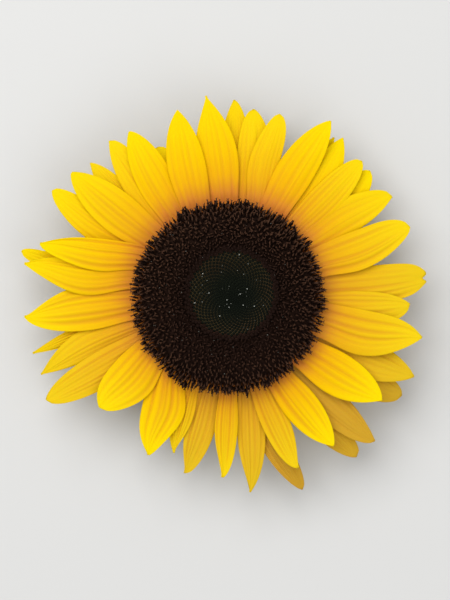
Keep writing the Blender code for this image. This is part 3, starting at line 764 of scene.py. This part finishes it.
def scatter(name, placed, material):
    """Join many placed copies of small meshes into one piece; placed holds (mesh, matrix, tone)."""
    bm = bmesh.new()
    for mesh, matrix, tone in placed:
        copy = mesh.copy()
        copy.transform(matrix)
        copy.attributes["tone"].data.foreach_set("value", [tone] * len(copy.vertices))
        bm.from_mesh(copy)
        bpy.data.meshes.remove(copy)
    add_piece(name, bm, [material], smooth=False)


def standing(plan, height, lean, heading, turn, scale):
    """Give the matrix of a small thing that stands on the disc and leans towards a heading."""
    tilt = Matrix.Rotation(-math.radians(lean), 4, polar(1.0, heading + 90.0).to_3d())
    spin = Matrix.Rotation(turn, 4, "Z")
    size = Matrix.Diagonal((scale.x, scale.y, scale.z, 1.0))
    return Matrix.Translation((plan.x, plan.y, height)) @ tilt @ spin @ size


def grown_hair(hair, root, way, length):
    """Place a hair with its root at a point, pointing a given way."""
    turn = Vector((0.0, 0.0, 1.0)).rotation_difference(way).to_matrix().to_4x4()
    return hair, Matrix.Translation(root) @ turn @ Matrix.Scale(length, 4), 0.0


def floret_matrix(rng, plan, angle, edge, sunk=0.0):
    """Give the matrix of an open floret, which leans out more at the edge and the deeper it is."""
    lean = mix(*FLORET_LEANS, edge) + SUNK_LEAN * sunk + rng.gauss(0.0, FLORET_LEAN_STRAY)
    heading = angle + rng.gauss(0.0, mix(*FLORET_HEADING_STRAYS, edge))
    tall = mix(*FLORET_HEIGHTS, edge) * mix(1.0, SUNK_HEIGHT_SHARE, sunk) * rng.uniform(0.8, 1.2)
    wide = rng.uniform(0.78, 1.05)
    plan = plan + polar(rng.uniform(0.0, FLORET_PLACE_STRAY), rng.uniform(0.0, 360.0))
    scale = Vector((wide, wide, tall)) * MM
    height = disc_height(plan.length) - mix(*SUNK_FOOT_DEPTHS, sunk)
    return standing(plan, height, lean, heading, rng.uniform(0.0, math.tau), scale)


def placed_bud(rng, bud, plan, angle, share):
    """Place a closed bud; towards the rim, where share is 1, they lean out and grow browner."""
    rim = smooth_step((share - 0.35) / 0.6)
    size = mix(*BUD_SIZES, share)
    scale = Vector((size, size, size * rng.uniform(0.9, 1.1)))
    height = disc_height(plan.length) - BUD_FOOT_DEPTH
    matrix = standing(plan, height, BUD_RIM_LEAN * rim, angle, math.radians(-angle), scale)
    return bud, matrix, rim * rng.uniform(0.6, 1.0)


def placed_young_floret(rng, bud, plan, angle):
    """Place a floret that is about to open, as a taller bud in the ring round the buds."""
    scale = Vector((YOUNG_WIDTH, YOUNG_WIDTH, rng.uniform(*YOUNG_HEIGHTS))) * MM
    height = disc_height(plan.length) - YOUNG_FOOT_DEPTH
    matrix = standing(plan, height, YOUNG_LEAN, angle, rng.uniform(0.0, 1.3), scale)
    return bud, matrix, rng.uniform(0.04, 0.3)


def placed_open_floret(rng, kinds, plan, angle, age):
    """Place an open floret; its tone grows with its age, and is raised towards the top (+Y) as
    painted light, the side the light falls from.
    """
    edge = smooth_step((age - 0.2) / 0.8)
    tone = mix(*FLORET_TONES, smooth_step(age * 1.1)) * rng.uniform(0.5, 1.0)
    # painted light: florets towards the top are lighter and those towards the bottom darker, as the
    # light falls from the top
    tone *= mix(0.8, 1.4, 0.5 + 0.5 * math.cos(math.radians(angle)))
    return rng.choice(kinds), floret_matrix(rng, plan, angle, edge), tone


def fringe_floret(rng, kinds, angle, push, sunk=0.0):
    """Place a dark floret of the fringe."""
    swell = FLORET_FIELD_SWELL * math.cos(math.radians(angle - FLORET_FIELD_SWELL_AT))
    plan = polar(BED_RADIUS + swell + push * MM, angle)
    matrix = floret_matrix(rng, plan, angle, rng.uniform(0.75, 1.1), sunk)
    return rng.choice(kinds), matrix, rng.uniform(0.0, 0.25)


def fringe(rng, kinds):
    """Give the florets that lean out over the petals' roots in tufts, then the low ones."""
    tufts = [(360.0 * rng.random(), rng.uniform(*TUFT_PUSHES)) for _ in range(FRINGE_TUFTS)]
    for _ in range(FRINGE_FLORETS):
        middle, push = rng.choice(tufts)
        angle = middle + rng.gauss(0.0, TUFT_SPREAD)
        push += rng.uniform(-TUFT_PUSH_STRAY, TUFT_PUSH_STRAY)
        yield fringe_floret(rng, kinds, angle, push)
    for _ in range(LOW_FRINGE_FLORETS):
        angle = 360.0 * rng.random()
        push = rng.uniform(-LOW_FRINGE_PUSH_STRAY, LOW_FRINGE_PUSH_STRAY)
        yield fringe_floret(rng, kinds, angle, push, rng.uniform(*LOW_FRINGE_SUNK))


def pollen_and_glint_places(rng):
    """Give each grain's plan point and how bright it is."""
    # painted highlights: the glints come first, at full brightness, then the faint pollen
    for place in PAINTED_GLINTS:
        yield Vector(place) * MM, 1.0
    for _ in range(FAINT_POLLEN):
        place = polar(POLLEN_FIELD_RADIUS * rng.random() ** 0.7, 360.0 * rng.random())
        yield place, 0.5 * rng.random() ** 2


def floret_places():
    """Give each floret's and bud's place on the golden spiral: radius, angle and plan point."""
    for index in range(1, FLORETS + 1):
        share = (index / FLORETS) ** FLORET_SPREAD
        radius = FLORET_FIELD_RADIUS * share
        angle = GOLDEN_ANGLE * index
        swell = math.cos(math.radians(angle - FLORET_FIELD_SWELL_AT)) * share ** 3
        plan = polar(radius + FLORET_FIELD_SWELL * swell, angle)
        if radius < BUDS_RADIUS:
            shift = BUDS_MIDDLE_SHIFT.lerp(BUDS_RIM_SHIFT, radius / BUDS_RADIUS)
        else:
            age = (radius - BUDS_RADIUS) / (FLORET_FIELD_RADIUS - BUDS_RADIUS)
            shift = BUDS_RIM_SHIFT * (1.0 - age)
        yield radius, angle, plan + shift


def add_disc(brown, green_black, pale):
    """Fill the disc: buds in the middle, florets round them, the fringe, and pale grains of pollen
    and painted glints.
    """
    rng = random.Random(SEED + 1)
    kinds = [open_floret_mesh(spread, fork) for spread, fork in FLORET_KINDS]
    bud = bud_mesh()
    inner = []
    outer = []
    buds = []
    for radius, angle, plan in floret_places():
        age = (radius - BUDS_RADIUS) / (FLORET_FIELD_RADIUS - BUDS_RADIUS)
        if radius < BUDS_RADIUS:
            buds.append(placed_bud(rng, bud, plan, angle, radius / BUDS_RADIUS))
        elif age < YOUNG_SHARE:
            inner.append(placed_young_floret(rng, bud, plan, angle))
        else:
            ring = outer if age > OUTER_FLORETS_FROM else inner
            ring.append(placed_open_floret(rng, kinds, plan, angle, age))
    outer.extend(fringe(rng, kinds))
    scatter("inner_florets", inner, brown)
    scatter("outer_florets", outer, brown)
    scatter("closed_buds", buds, green_black)
    grain = grain_mesh()
    grains = []
    for plan, tone in pollen_and_glint_places(rng):
        size = mix(0.65, 1.0, tone) * MM
        height = disc_height(plan.length) + GRAIN_LIFT
        matrix = standing(plan, height, 0.0, 0.0, 0.0, Vector((size, size, size)))
        grains.append((grain, matrix, tone))
    scatter("pollen_and_glint_grains", grains, pale)


def floret_finish():
    """Near-black brown, rusty where both the floret's tone and the place's warmth are high."""
    made = Finish("open floret", 0.75, Specular_IOR_Level=0.04)
    grain = made.noise(made.position(), 600.0)
    warm = made.math("MULTIPLY", made.attribute("tone"), made.attribute("warmth"))
    warm = made.math("MULTIPLY", warm, made.ramp(grain, [(0.3, 0.55), (0.65, 1.0)]))
    colour = made.ramp(warm, [
        (0.0, (0.0120, 0.0056, 0.0040)),
        (0.08, (0.027, 0.0130, 0.0086)),
        (0.25, (0.054, 0.0250, 0.0148)),
        (0.6, (0.082, 0.0395, 0.0225)),
        (1.0, (0.120, 0.0620, 0.0370)),
    ])
    return made.finish(colour, grain, 0.3, 0.1 * MM)


def bud_finish():
    """Green-black tops; the flanks are olive-brown, the more so the nearer to the rim."""
    made = Finish("closed bud", 0.6, Specular_IOR_Level=0.05)
    place = made.position()
    grain = made.noise(place, 1200.0)
    patches = made.ramp(made.noise(place, 140.0), [(0.35, 0.0), (0.65, 1.0)])
    top = made.blend(grain, (0.0012, 0.0018, 0.0010), (0.0035, 0.0050, 0.0028))
    green = made.blend(grain, (0.017, 0.022, 0.013), (0.044, 0.052, 0.032))
    brown = made.blend(patches, (0.105, 0.076, 0.032), (0.118, 0.068, 0.032))
    flank = made.blend(made.attribute("tone"), green, brown)
    return made.finish(made.blend(made.attribute("warmth"), top, flank), grain, 0.2, 0.1 * MM)


def pollen_and_glint_finish():
    """Pale grains, some brighter than others: the dim ones pollen, the brightest painted highlights
    that stand for glints.
    """
    # this material paints the pollen and the painted glints alike
    made = Finish("pollen", 0.4, Specular_IOR_Level=0.4)
    tone = made.attribute("tone")
    return made.finish(made.ramp(tone, [(0.0, (0.10, 0.10, 0.08)), (1.0, (0.60, 0.62, 0.55))]))


def bed_finish():
    """The black-brown ground between the florets, rusty where its wall meets the petals' roots."""
    made = Finish("disc bed", 0.9, Specular_IOR_Level=0.02)
    place = made.position()
    grain = made.noise(place, 700.0)
    dark = made.blend(grain, (0.010, 0.0048, 0.0033), (0.024, 0.0115, 0.0075))
    height = made.node("ShaderNodeSeparateXYZ", Vector=place).outputs[2]
    above = made.math("MULTIPLY_ADD", grain, 2.0 * MM, made.math("SUBTRACT", height, DISC_BOTTOM))
    share = made.math("DIVIDE", above, BED_RUST_RANGE)
    rusty = made.ramp(share, [(0.15, 1.0), (0.4, 0.0)])
    return made.finish(made.blend(rusty, dark, (0.16, 0.05, 0.010)), grain, 0.4, 0.2 * MM)


def green_finish(name, low, high, scale):
    """Soft, slightly mottled green with fine down."""
    made = Finish(name, 0.62, Specular_IOR_Level=0.3, Subsurface_Weight=0.05,
                  Subsurface_Scale=0.001)
    place = made.position()
    broad = made.noise(place, scale, 3.0)
    fine = made.noise(place, scale * 9.0)
    colour = made.blend(broad, low, high)
    colour = made.blend(made.math("MULTIPLY", fine, 0.25), colour, (0.35, 0.42, 0.18))
    return made.finish(colour, fine, 0.35, 0.15 * MM)


def rim_finish():
    """Rusty orange, as the petals' roots are."""
    made = Finish("petal roots", 0.6, Specular_IOR_Level=0.08)
    grain = made.noise(made.position(), 500.0)
    colour = made.blend(grain, (0.10, 0.03, 0.008), (0.42, 0.14, 0.02))
    return made.finish(colour, grain, 0.3, 0.1 * MM)


def hair_finish():
    """Pale, stiff plant hairs."""
    return Finish("plant hair", 0.5).finish((0.525, 0.56, 0.35, 1.0))


def bract_finish():
    """Green with a paler midrib, net veins and a pale edge."""
    made = Finish("bract", 0.6, Specular_IOR_Level=0.3)
    across, along, tone = blade_coordinates(made)
    veins = vein_pattern(made, across, along, tone, 16.0, 2.5)
    middle = made.math("ABSOLUTE", made.math("SUBTRACT", across, 0.5))
    rib = made.ramp(middle, [(0.0, 1.0), (0.05, 0.0)])
    edge = made.ramp(middle, [(0.44, 0.0), (0.5, 1.0)])
    base = made.ramp(along, [(0.0, (0.10, 0.20, 0.035)), (1.0, (0.07, 0.16, 0.025))])
    colour = made.blend(made.math("MULTIPLY", veins, 0.5), base, (0.14, 0.26, 0.06))
    pale = made.math("MAXIMUM", rib, edge)
    colour = made.blend(made.math("MULTIPLY", pale, 0.6), colour, (0.30, 0.40, 0.16))
    return made.finish(colour, veins, 0.5, 0.3 * MM)


def bract_point(angle, row, along, across):
    """Give a point of a bract: egg-shaped, drawn out to a point that hangs a little."""
    shape = min(1.0, BRACT_ROOT_SHARE + along) * (1.0 - along ** BRACT_TAPER)
    half_width = 0.5 * max(BRACT_WIDTH * shape, TIP_WIDTH)
    radius = BRACT_ROOT_RADIUS - BRACT_ROW_SETBACK * row + BRACT_LENGTH * along
    height = BRACT_ROOT_HEIGHT - BRACT_ROW_STEP * row
    height += BRACT_BELLY * math.sin(math.pi * min(along / BRACT_BELLY_ENDS_AT, 1.0))
    height -= (BRACT_DROOP + BRACT_DROOP_PER_ROW * row) * along ** 2
    height += BRACT_CUP * across ** 2 * shape
    groove = math.exp(-(across / BRACT_GROOVE_HALF_WIDTH) ** 2)
    height -= BRACT_GROOVE * groove * (1.0 - along)
    plan = polar(radius, angle) + polar(half_width * across, angle + 90.0)
    return Vector((plan.x, plan.y, height))


def bract_hairs(rng, hair, angle, row):
    """Give the stiff hairs along both edges of a bract."""
    hairs = []
    for side in (-1.0, 1.0):
        for step in range(BRACT_HAIRS_A_SIDE):
            along = (step + BRACT_HAIR_FIRST) * BRACT_HAIR_SPACING
            root = bract_point(angle, row, along, side * 0.99)
            out = polar(1.0, angle + side * rng.uniform(35.0, 75.0))
            way = Vector((out.x, out.y, rng.uniform(-0.5, 0.3)))
            hairs.append(grown_hair(hair, root, way, rng.uniform(*BRACT_HAIR_LENGTHS)))
    return hairs


def add_bracts(leaf, hair):
    """Make the bracts in their rows, and give the hairs along their edges."""
    rng = random.Random(SEED)
    total = BRACT_ROWS * BRACTS_IN_ROW
    hairs = []
    for index in range(total):
        row = index % BRACT_ROWS
        angle = 360.0 * index / total + rng.uniform(-BRACT_STRAY, BRACT_STRAY)
        bm = blade_sheet(BRACT_CELLS)
        tones = bm.verts.layers.float.new("tone")
        for vert in bm.verts:
            vert[tones] = index / total
            vert.co = bract_point(angle, row, (vert.co.y + 1.0) / 2.0, vert.co.x)
        piece = add_piece(f"bract_{index + 1:02d}", bm, [leaf],
                          ["receptacle_and_bracts"])
        thicken(piece, BRACT_THICKNESS, 0.0)
        hairs += bract_hairs(rng, hair, angle, row)
    return hairs


def add_receptacle(green):
    """Make the thick green back of the head."""
    profile = [(0.0, RECEPTACLE_BACK[0][1])] + RECEPTACLE_BACK
    profile += [(RECEPTACLE_BACK[-1][0], RECEPTACLE_TOP), (0.0, RECEPTACLE_TOP)]
    add_piece("receptacle", turned(profile, 96), [green],
              ["receptacle_and_bracts"])


def add_rim(rusty):
    """Make the edge of the head that the petals grow from, with a rib for each petal."""
    bm = turned(RIM_PROFILE, RIM_SIDES_A_PETAL * len(PETALS), ring=True)
    press_ribs(bm, len(PETALS), RIM_RIB_DEPTH)
    add_piece("petal_rim", bm, [rusty], ["ray_petals"])


def stem_radius(share):
    """Give the stem's radius at a share of its height: a waist, then a flare into the head."""
    waist = math.sin(math.pi * min(share / STEM_WAIST_ENDS_AT, 1.0))
    flare = smooth_step((share - STEM_FLARE_FROM) / (1.0 - STEM_FLARE_FROM))
    return mix(STEM_RADIUS, STEM_NECK_RADIUS, waist) + flare * (STEM_TOP_RADIUS - STEM_RADIUS)


def add_stem(skin, pith, hair):
    """Make the cut stem with its ribs and its pale pith, and give its bristles."""
    profile = [(0.0, 0.0), (PITH_RADIUS, 0.0), (STEM_CUT_RADIUS, 0.0), (STEM_RADIUS, STEM_CUT_EDGE)]
    for ring in range(1, STEM_RINGS + 1):
        share = ring / STEM_RINGS
        profile.append((stem_radius(share), share * STEM_TOP))
    profile.append((0.0, STEM_TOP))
    bm = turned(profile, 90)
    press_ribs(bm, STEM_RIBS, STEM_RIB_DEPTH, 0.9 * STEM_NECK_RADIUS)
    for face in bm.faces:
        middle = face.calc_center_median()
        if middle.z < STEM_CUT_EDGE / 4.0 and middle.xy.length < PITH_RADIUS:
            face.material_index = 1
    add_piece("stem_stub", bm, [skin, pith], ["stem"])
    rng = random.Random(SEED + 3)
    hairs = []
    for _ in range(STEM_HAIRS):
        angle = rng.uniform(0.0, 360.0)
        share = rng.uniform(*STEM_HAIR_SPAN)
        plan = polar(stem_radius(share) - HAIR_ROOT_DEPTH, angle)
        out = polar(1.0, angle + rng.uniform(-25.0, 25.0))
        way = Vector((out.x, out.y, rng.uniform(-0.3, 0.6)))
        root = Vector((plan.x, plan.y, share * STEM_TOP))
        hairs.append(grown_hair(hair, root, way, rng.uniform(*STEM_HAIR_LENGTHS)))
    return hairs


def add_camera():
    """Look straight down on the flower, with its axis where the photograph has it."""
    camera_data = bpy.data.cameras.new("camera")
    camera_data.sensor_fit = "AUTO"
    camera_data.sensor_width = SENSOR_LONG_SIDE_MM
    view_height = FRAME_HEIGHT_PX / PX_PER_MM * MM
    camera_data.lens = SENSOR_LONG_SIDE_MM * CAMERA_DISTANCE / view_height
    camera = bpy.data.objects.new("camera", camera_data)
    bpy.context.scene.collection.objects.link(camera)
    right = (FRAME_WIDTH_PX / 2.0 - AXIS_X_PX) / PX_PER_MM * MM
    up = (AXIS_Y_PX - FRAME_HEIGHT_PX / 2.0) / PX_PER_MM * MM
    camera.location = (right, up, PETAL_ROOT_HEIGHT + CAMERA_DISTANCE)
    bpy.context.scene.camera = camera
    # The default transform can't show a yellow as full as the petals'
    bpy.context.scene.view_settings.view_transform = "Standard"


def add_light(name, azimuth, elevation, distance, size, power):
    """Hang a square soft light that faces the flower; azimuth is clockwise from +Y."""
    data = bpy.data.lights.new(name, "AREA")
    data.shape = "SQUARE"
    data.size = size
    data.energy = power
    light = bpy.data.objects.new(name, data)
    bpy.context.scene.collection.objects.link(light)
    out = polar(math.cos(math.radians(elevation)), azimuth)
    way = Vector((out.x, out.y, math.sin(math.radians(elevation))))
    light.location = way * distance
    light.rotation_euler = way.to_track_quat("Z", "Y").to_euler()


def add_studio():
    """Lay the plain pale floor and set the soft lights."""
    bm = bmesh.new()
    bmesh.ops.create_grid(bm, x_segments=1, y_segments=1, size=FLOOR_HALF_SIDE)
    mesh = bpy.data.meshes.new("floor")
    bm.to_mesh(mesh)
    bm.free()
    floor = bpy.data.objects.new("floor", mesh)
    bpy.context.scene.collection.objects.link(floor)
    made = Finish("floor", 0.9)
    mesh.materials.append(made.finish((0.62, 0.62, 0.61, 1.0)))
    add_light("key light", azimuth=325.0, elevation=62.0, distance=1.1, size=0.9, power=9.6)
    add_light("fill light", azimuth=140.0, elevation=58.0, distance=1.2, size=1.0, power=4.0)
    world = bpy.data.worlds.new("studio")
    world.use_nodes = True
    background = world.node_tree.nodes["Background"]
    background.inputs["Color"].default_value = (1.0, 1.0, 1.0, 1.0)
    background.inputs["Strength"].default_value = 0.5
    bpy.context.scene.world = world


def main():
    """Dress the flower and light it."""
    add_petals(petal_front_finish(), petal_back_finish())
    add_bed(bed_finish())
    add_disc(floret_finish(), bud_finish(), pollen_and_glint_finish())
    green = green_finish("receptacle", (0.09, 0.19, 0.03), (0.16, 0.28, 0.06), 160.0)
    add_receptacle(green)
    add_rim(rim_finish())
    hair = hair_mesh()
    hairs = add_bracts(bract_finish(), hair)
    skin = green_finish("stem skin", (0.12, 0.22, 0.04), (0.22, 0.33, 0.09), 220.0)
    pith = green_finish("stem pith", (0.55, 0.58, 0.36), (0.68, 0.7, 0.5), 500.0)
    hairs += add_stem(skin, pith, hair)
    scatter("hairs", hairs, hair_finish())
    add_camera()
    add_studio()
    bpy.context.view_layer.update()


main()
